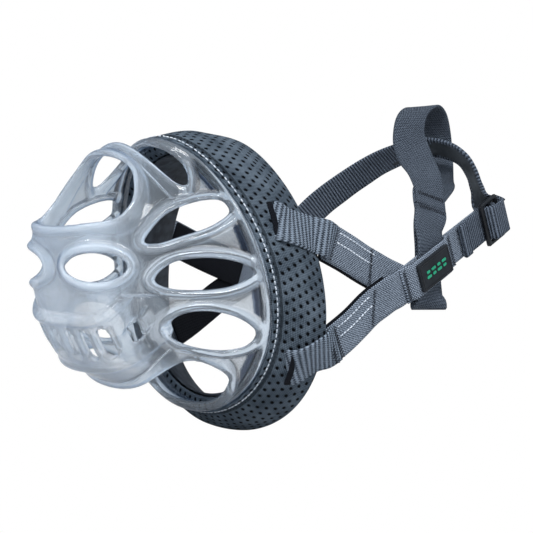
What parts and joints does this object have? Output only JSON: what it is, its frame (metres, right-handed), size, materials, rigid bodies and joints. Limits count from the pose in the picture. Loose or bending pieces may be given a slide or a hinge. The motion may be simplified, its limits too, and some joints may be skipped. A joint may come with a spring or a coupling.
{
  "type": "basket muzzle",
  "caption": "Clear moulded dog basket muzzle with a padded grey cuff, webbing V straps, a neck loop with slider and a collar loop.",
  "frame": {"origin": "centre of the cage's rear rim, on the line down the middle of the muzzle", "axes": "-Y towards the nose, +Z towards the brow, +X towards the wearer's left side"},
  "size_m": [0.1288, 0.2767, 0.1741],
  "materials": {
    "clear_cage": "satin",
    "soft_lip": "matte",
    "mesh_pad": "matte",
    "pad_lining": "matte",
    "webbing": "matte",
    "collar_webbing": "matte",
    "thread": "satin",
    "label_rubber": "matte",
    "label_motif": "satin",
    "slider_plastic": "satin"
  },
  "bodies": {
    "muzzle": {"basket": "clear_cage", "rim_lip": "soft_lip", "pad_cuff": "mesh_pad", "pad_lining": "pad_lining", "upper_tab_left": "webbing", "upper_arm_left": "webbing", "lower_tab_left": "webbing", "lower_arm_left": "webbing", "upper_tab_right": "webbing", "upper_arm_right": "webbing", "lower_tab_right": "webbing", "lower_arm_right": "webbing", "arm_tacks_left": "thread", "arm_tacks_right": "thread"},
    "neck_loop": {"neck_strap_left": "webbing", "neck_strap_right": "webbing", "strap_keeper": "webbing", "keeper_tacks": "thread", "label_patch": "label_rubber", "label_motif": "label_motif", "slider": "slider_plastic", "strap_end_loop": "webbing", "strap_turnback": "webbing"},
    "tail": {"strap_tail": "webbing"},
    "collar_loop": {"collar_loop_lower": "collar_webbing", "collar_loop_upper": "collar_webbing", "loop_tacks": "thread"}
  },
  "joints": [
    {"name": "neck_loop_swing", "type": "hinge", "parent": "muzzle", "child": "neck_loop", "pos_m": [0, 0.098, -0.008], "axis": [1, 0, 0], "range_deg": [-20, 20]},
    {"name": "tail_feed", "type": "slide", "parent": "neck_loop", "child": "tail", "axis": [0.0801, -0.9213, -0.3805], "range_m": [0, 0.008]},
    {"name": "collar_loop_slide", "type": "slide", "parent": "neck_loop", "child": "collar_loop", "axis": [-0.0801, 0.9213, 0.3805], "range_m": [-0.004, 0.0015]}
  ]
}
